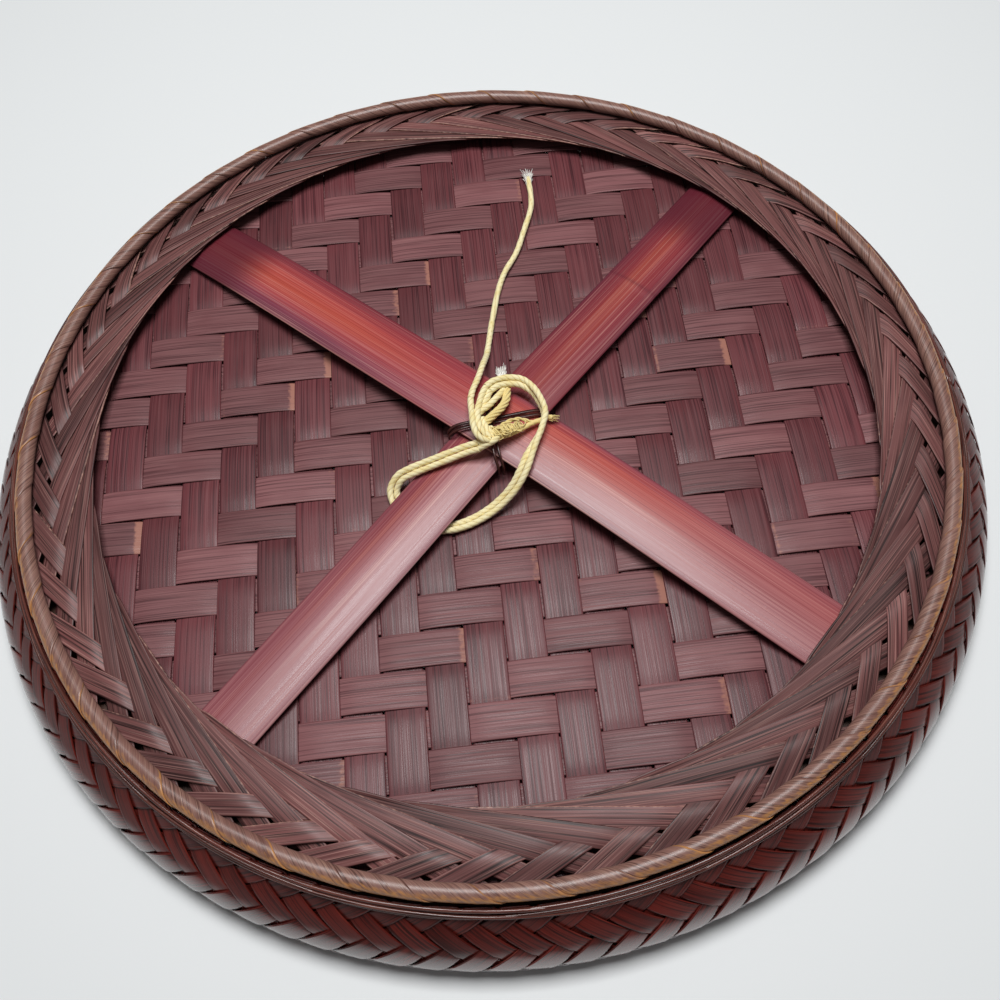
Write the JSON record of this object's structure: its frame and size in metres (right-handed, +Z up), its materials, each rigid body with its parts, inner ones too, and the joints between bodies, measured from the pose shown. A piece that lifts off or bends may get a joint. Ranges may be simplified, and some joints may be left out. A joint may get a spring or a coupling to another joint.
{
  "type": "woven bamboo tray",
  "caption": "Round shallow tray of woven bamboo strips, lying base up, with a wrapped foot hoop, a woven collar, two crossed slats tied by a cord, and a flared woven wall.",
  "frame": {"origin": "on the table, under the centre of the tray's round mouth edge", "axes": "+Z up along the tray's axis, from the mouth edge on the table to the base; +X to the right and +Y away in the picture"},
  "size_m": [0.48, 0.48, 0.0565],
  "materials": {
    "mat_warp": "stained split bamboo, satin",
    "mat_weft": "stained split bamboo, satin, fibre lines showing",
    "collar": "stained split bamboo, satin",
    "wall": "stained split bamboo, glossy",
    "hoop": "plain round bamboo",
    "hoop_wrap": "stained split bamboo with worn golden edges",
    "strand": "thin round splint, satin",
    "slat": "stained bamboo skin, glossy, lengthwise grain",
    "lashing": "thin dark splint",
    "cord": "twisted cotton, matt"
  },
  "bodies": {
    "root": {"mat_warp_01": "mat_warp", "mat_warp_02": "mat_warp", "mat_warp_03": "mat_warp", "mat_warp_04": "mat_warp", "mat_warp_05": "mat_warp", "mat_warp_06": "mat_warp", "mat_warp_07": "mat_warp", "mat_warp_08": "mat_warp", "mat_warp_09": "mat_warp", "mat_warp_10": "mat_warp", "mat_warp_11": "mat_warp", "mat_warp_12": "mat_warp", "mat_warp_13": "mat_warp", "mat_warp_14": "mat_warp", "mat_warp_15": "mat_warp", "mat_warp_16": "mat_warp", "mat_warp_17": "mat_warp", "mat_warp_18": "mat_warp", "mat_warp_19": "mat_warp", "mat_warp_20": "mat_warp", "mat_warp_21": "mat_warp", "mat_warp_22": "mat_warp", "mat_weft_01": "mat_weft", "mat_weft_02": "mat_weft", "mat_weft_03": "mat_weft", "mat_weft_04": "mat_weft", "mat_weft_05": "mat_weft", "mat_weft_06": "mat_weft", "mat_weft_07": "mat_weft", "mat_weft_08": "mat_weft", "mat_weft_09": "mat_weft", "mat_weft_10": "mat_weft", "mat_weft_11": "mat_weft", "mat_weft_12": "mat_weft", "mat_weft_13": "mat_weft", "mat_weft_14": "mat_weft", "mat_weft_15": "mat_weft", "mat_weft_16": "mat_weft", "mat_weft_17": "mat_weft", "mat_weft_18": "mat_weft", "mat_weft_19": "mat_weft", "mat_weft_20": "mat_weft", "mat_weft_21": "mat_weft", "mat_weft_22": "mat_weft", "side_wall": "wall", "collar": "collar", "mouth_hoop": "hoop", "base_hoop": "hoop", "foot_hoop": "hoop", "foot_hoop_wrap": "hoop_wrap", "foot_strand_1": "strand", "foot_strand_2": "strand", "slat_lower": "slat", "slat_upper": "slat", "slat_lashing_across": "lashing", "slat_lashing_along": "lashing", "cord_loop_outer": "cord", "cord_loop_inner": "cord", "cord_tail": "cord", "cord_knot": "cord"}
  },
  "joints": []
}
